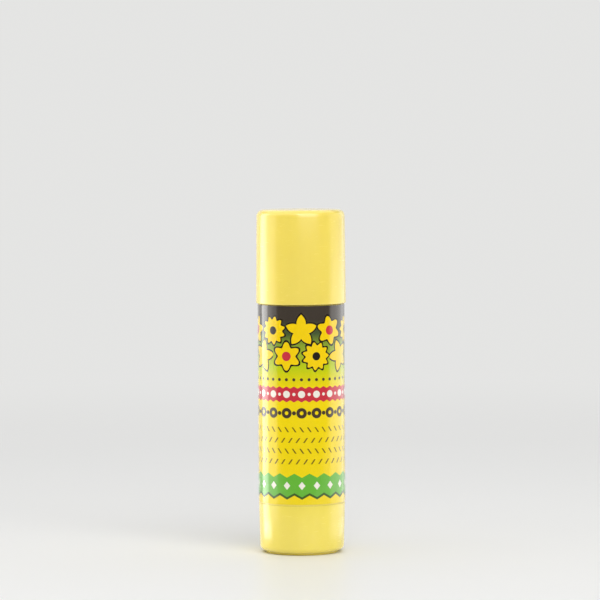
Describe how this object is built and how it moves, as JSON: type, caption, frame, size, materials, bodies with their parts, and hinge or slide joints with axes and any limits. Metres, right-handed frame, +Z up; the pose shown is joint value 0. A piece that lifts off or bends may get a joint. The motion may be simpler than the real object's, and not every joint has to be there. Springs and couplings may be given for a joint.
{
  "type": "glue stick",
  "caption": "Twist-up glue stick: capped plastic tube with a wrapped film label, and a turning knob whose threaded spindle lifts the glue in its carrier.",
  "frame": {"origin": "centre of the foot ring's underside, on the axis of the tube", "axes": "+Z up along the tube's axis towards the cap, -Y towards the front of the label"},
  "size_m": [0.0242, 0.0242, 0.092],
  "materials": {
    "tube_plastic": "smooth injection-moulded polypropylene, pale yellow",
    "printed_film": "glossy printed film, near black through green to yellow",
    "cap_plastic": "polished injection-moulded polypropylene, pale yellow",
    "knob_plastic": "smooth injection-moulded polypropylene, pale yellow",
    "white_plastic": "natural white polypropylene",
    "adhesive": "waxy, slightly translucent white adhesive"
  },
  "bodies": {
    "tube": {"barrel": "tube_plastic", "label": "printed_film"},
    "cap": {"cap": "cap_plastic"},
    "drive": {"knob": "knob_plastic", "spindle": "white_plastic"},
    "lift": {"carrier": "white_plastic", "glue": "adhesive"}
  },
  "joints": [
    {"name": "cap_pull", "type": "slide", "parent": "tube", "child": "cap", "axis": [0, 0, 1], "range_m": [0, 0.045]},
    {"name": "knob_turn", "type": "hinge", "parent": "tube", "child": "drive", "pos_m": [0, 0, 0.01], "axis": [0, 0, 1], "range_deg": [0, 3690]},
    {"name": "carrier_lift", "type": "slide", "parent": "tube", "child": "lift", "axis": [0, 0, 1], "range_m": [0, 0.0513], "deforming": ["glue"]}
  ],
  "couplings": [
    {"joint": "carrier_lift", "follows": "knob_turn", "m_per_rad": 0.00079577}
  ]
}
